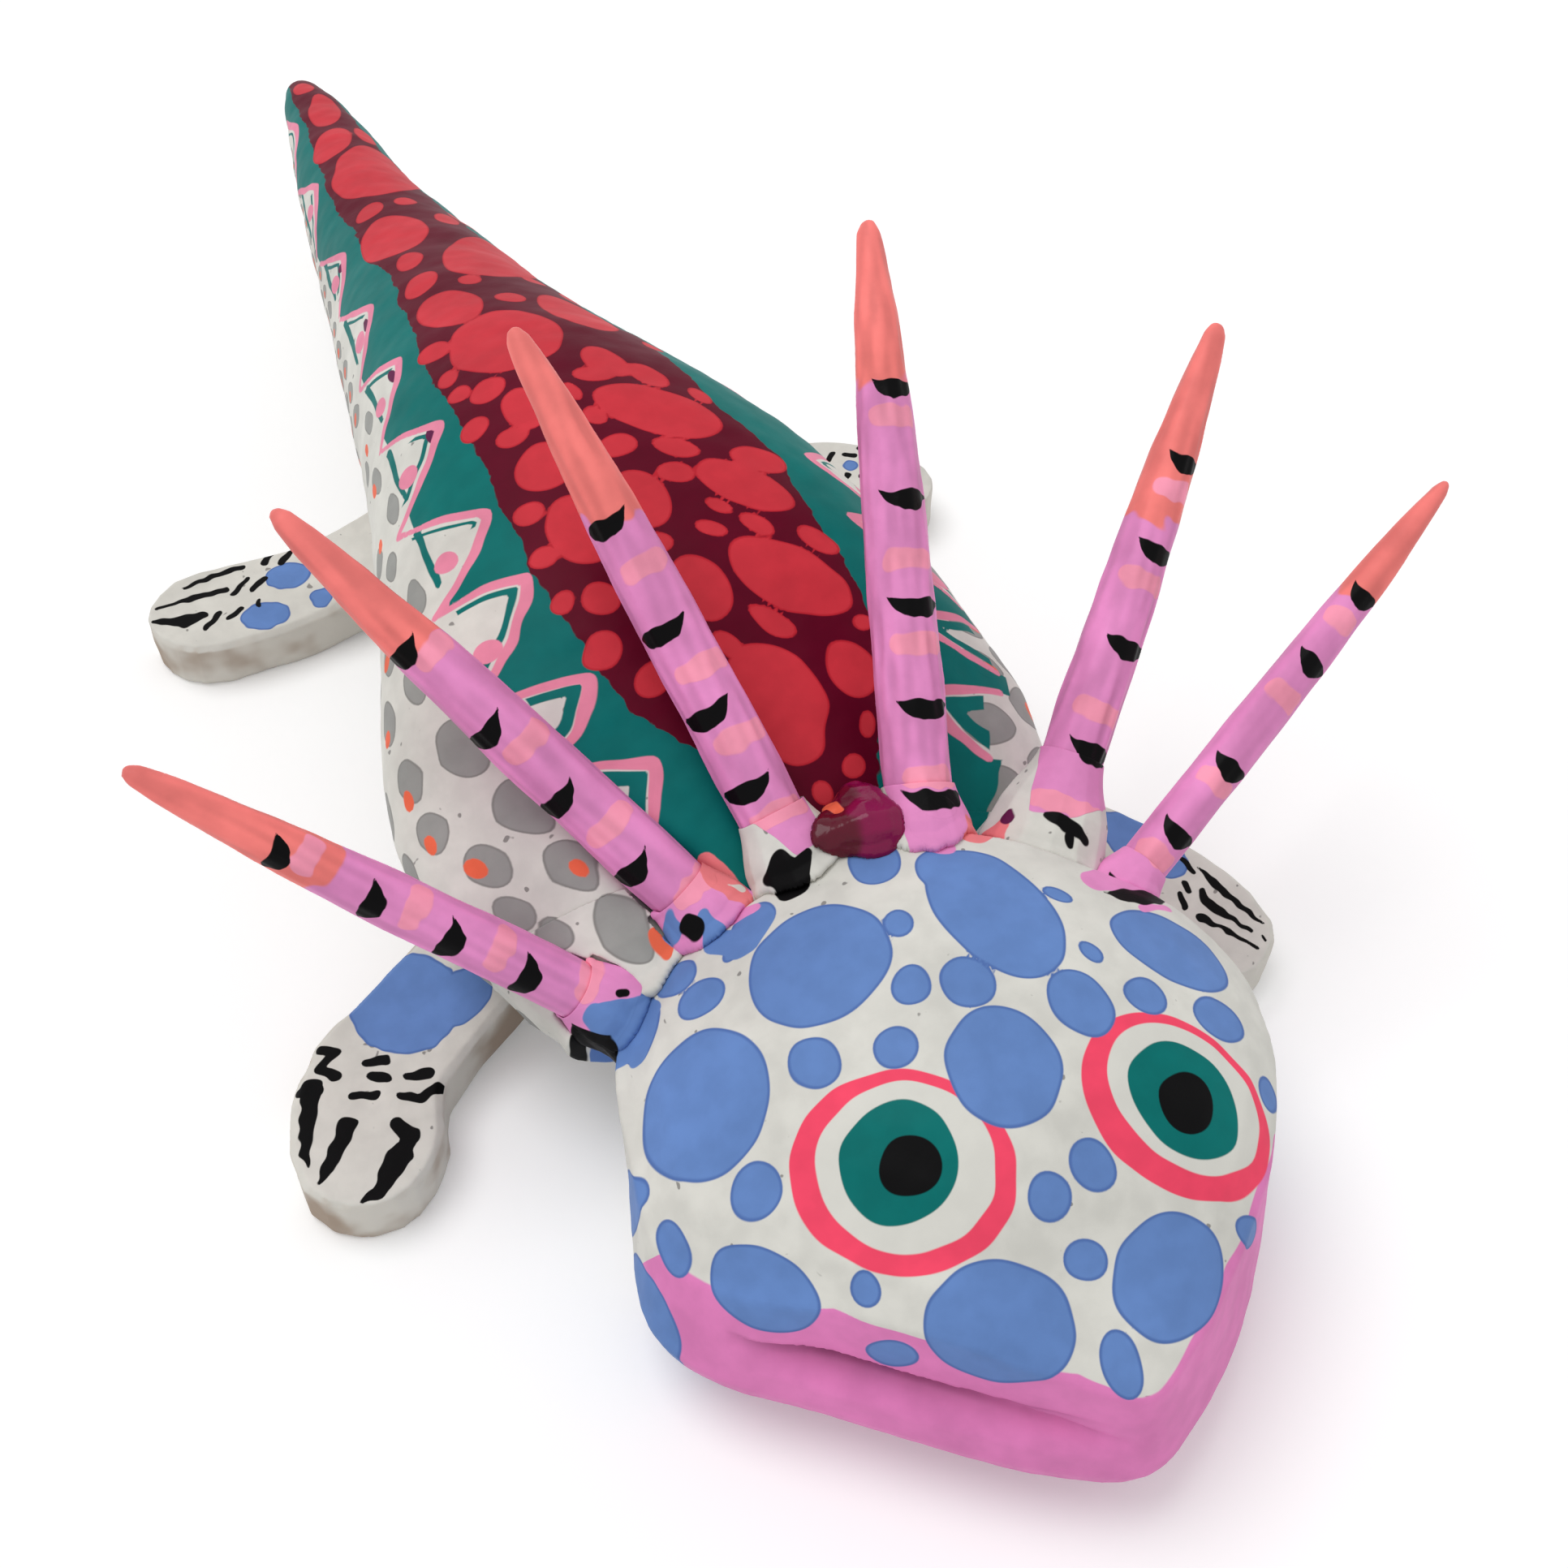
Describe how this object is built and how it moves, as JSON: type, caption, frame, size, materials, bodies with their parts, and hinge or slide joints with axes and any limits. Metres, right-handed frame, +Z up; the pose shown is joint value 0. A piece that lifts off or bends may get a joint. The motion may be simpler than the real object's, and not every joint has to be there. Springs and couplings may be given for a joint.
{
  "type": "alebrije figure",
  "caption": "Carved and painted wooden axolotl figure: fat tapering body with tail, broad flat head with stick gills, splayed paddle legs.",
  "frame": {"origin": "on the ground under the middle of the figure's outline", "axes": "+Z up, -Y the way the face looks, +Y towards the tail tip, +X to the right of someone facing the face"},
  "size_m": [0.121, 0.217, 0.0603],
  "materials": {
    "body_paint": "brushed acrylic paint on carved wood: burgundy back with red ovals, teal sides, off-white flanks",
    "head_paint": "off-white acrylic paint with periwinkle spots, ringed eyes and pink lips, satin",
    "gill_paint": "orchid acrylic paint with coral tips, black and light pink bands, satin",
    "leg_paint": "off-white paint on top with blue patches and black strokes, bare smudged wood on the cut edges",
    "filler_white": "white filler, hand smoothed",
    "filler_paint": "filler painted salmon pink and off-white",
    "coloured_glue": "glossy set glue painted magenta"
  },
  "bodies": {
    "root": {"gill_1": "gill_paint", "gill_2": "gill_paint", "gill_3": "gill_paint", "gill_4": "gill_paint", "gill_5": "gill_paint", "gill_6": "gill_paint", "gill_filler_1": "filler_white", "gill_filler_2": "filler_white", "gill_filler_3": "filler_white", "gill_filler_4": "filler_white", "gill_filler_5": "filler_white", "gill_filler_6": "filler_white", "head": "head_paint", "leg_front_left": "leg_paint", "leg_front_right": "leg_paint", "leg_rear_left": "leg_paint", "leg_rear_right": "leg_paint", "neck_filler": "filler_paint", "neck_glue": "coloured_glue", "torso_tail": "body_paint"}
  },
  "joints": []
}
